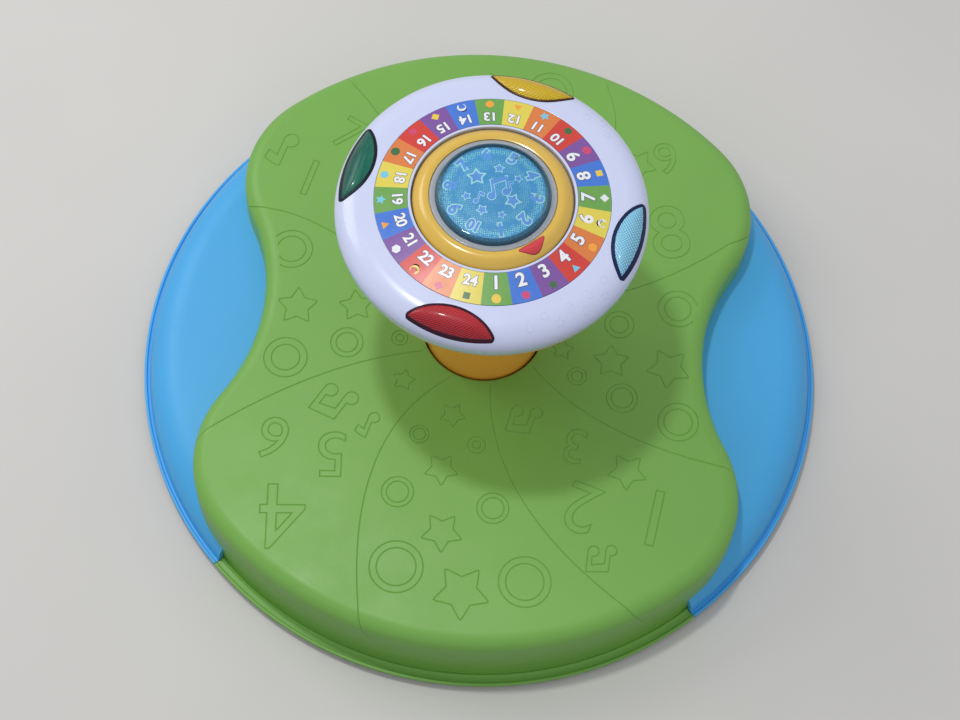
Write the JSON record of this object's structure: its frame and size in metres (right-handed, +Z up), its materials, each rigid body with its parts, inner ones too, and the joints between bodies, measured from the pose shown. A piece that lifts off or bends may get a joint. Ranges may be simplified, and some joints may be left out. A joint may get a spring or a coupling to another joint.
{
  "type": "sit and spin ride-on toy",
  "caption": "Toddler turntable seat with footrests that spins round a fixed column with a console of lights, a dial, a pointer ring and a dome button.",
  "frame": {"origin": "on the floor, on the column's axis", "axes": "+Z up along the column. The seat's two lobes lie along Y, its waist and the footrests along X. The side nearest the viewer in the picture is -Y."},
  "size_m": [0.52, 0.52, 0.266],
  "materials": {
    "green_plastic": "satin moulded plastic",
    "blue_plastic": "satin moulded plastic",
    "orange_plastic": "glossy moulded plastic",
    "white_plastic": "glossy moulded plastic",
    "yellow_plastic": "glossy moulded plastic",
    "red_plastic": "glossy moulded plastic",
    "grey_plastic": "moulded plastic",
    "black_plastic": "moulded plastic",
    "bearing_plastic": "low-friction plastic",
    "pad_rubber": "plain rubber",
    "plated_steel": "zinc plated",
    "printed_label": "printed in colour and laminated",
    "lens_yellow": "translucent, ribbed inside",
    "lens_green": "translucent, ribbed inside",
    "lens_red": "translucent, ribbed inside",
    "lens_blue": "translucent, ribbed inside",
    "led_clear": "clear resin",
    "clear_blue": "clear tinted, polished",
    "clear_grey": "clear, polished",
    "printed_disc": "printed in colour",
    "board": "solder mask",
    "cell_case": "plain sleeve"
  },
  "bodies": {
    "base": {"floor_base": "grey_plastic", "floor_pad_1": "pad_rubber", "floor_pad_2": "pad_rubber", "floor_pad_3": "pad_rubber", "floor_pad_4": "pad_rubber", "floor_pad_5": "pad_rubber", "floor_pad_6": "pad_rubber", "centre_post": "plated_steel", "post_bolt": "plated_steel", "thrust_washer": "bearing_plastic", "retaining_collar": "plated_steel", "column_cover": "orange_plastic", "console_lower_shell": "orange_plastic", "console_upper_shell": "white_plastic", "dial_label": "printed_label", "lens_yellow": "lens_yellow", "lens_green": "lens_green", "lens_red": "lens_red", "lens_blue": "lens_blue", "led_yellow": "led_clear", "led_green": "led_clear", "led_red": "led_clear", "led_blue": "led_clear", "console_screw_1": "plated_steel", "console_screw_2": "plated_steel", "console_screw_3": "plated_steel", "console_screw_4": "plated_steel", "dome_bezel": "clear_grey", "dome_spring": "plated_steel", "circuit_board": "board", "press_switch": "black_plastic", "speaker": "black_plastic", "battery_box": "black_plastic", "battery_cell_1": "cell_case", "battery_cell_2": "cell_case", "battery_cell_3": "cell_case", "battery_door": "orange_plastic", "battery_door_screw": "plated_steel"},
    "turntable": {"footrest_platform": "blue_plastic", "seat_shell": "green_plastic", "hub_bushing": "bearing_plastic", "seat_screw_1": "plated_steel", "seat_screw_2": "plated_steel", "seat_screw_3": "plated_steel", "seat_screw_4": "plated_steel", "roller_axle_1": "plated_steel", "roller_axle_2": "plated_steel", "roller_axle_3": "plated_steel", "roller_axle_4": "plated_steel"},
    "roller_a": {"roller_1": "grey_plastic"},
    "roller_b": {"roller_2": "grey_plastic"},
    "roller_c": {"roller_3": "grey_plastic"},
    "roller_d": {"roller_4": "grey_plastic"},
    "pointer": {"pointer_ring": "yellow_plastic", "pointer_arrow": "red_plastic"},
    "dome_button": {"dome_cap": "clear_blue", "dome_print_disc": "printed_disc"},
    "switch_slider": {"power_switch": "black_plastic"}
  },
  "joints": [
    {"name": "seat_spin", "type": "hinge", "parent": "base", "child": "turntable", "pos_m": [0, 0, 0.04], "axis": [0, 0, 1], "continuous": true},
    {"name": "roller_1_turn", "type": "hinge", "parent": "turntable", "child": "roller_a", "pos_m": [0.09758, 0.09758, 0.0191], "axis": [0.7071, 0.7071, 0], "continuous": true},
    {"name": "roller_2_turn", "type": "hinge", "parent": "turntable", "child": "roller_b", "pos_m": [-0.09758, 0.09758, 0.0191], "axis": [-0.7071, 0.7071, 0], "continuous": true},
    {"name": "roller_3_turn", "type": "hinge", "parent": "turntable", "child": "roller_c", "pos_m": [-0.09758, -0.09758, 0.0191], "axis": [-0.7071, -0.7071, 0], "continuous": true},
    {"name": "roller_4_turn", "type": "hinge", "parent": "turntable", "child": "roller_d", "pos_m": [0.09758, -0.09758, 0.0191], "axis": [0.7071, -0.7071, 0], "continuous": true},
    {"name": "pointer_turn", "type": "hinge", "parent": "base", "child": "pointer", "pos_m": [0, 0, 0.25], "axis": [0, 0, 1], "continuous": true},
    {"name": "dome_press", "type": "slide", "parent": "base", "child": "dome_button", "axis": [0, 0, -1], "range_m": [0, 0.003], "stiffness_N_per_m": 400, "springref_m": -0.002, "deforming": ["dome_spring"]},
    {"name": "power_slide", "type": "slide", "parent": "base", "child": "switch_slider", "axis": [1, 0, 0], "range_m": [0, 0.006]}
  ],
  "couplings": [
    {"joint": "roller_1_turn", "follows": "seat_spin", "ratio": -15.333},
    {"joint": "roller_2_turn", "follows": "seat_spin", "ratio": -15.333},
    {"joint": "roller_3_turn", "follows": "seat_spin", "ratio": -15.333},
    {"joint": "roller_4_turn", "follows": "seat_spin", "ratio": -15.333}
  ]
}
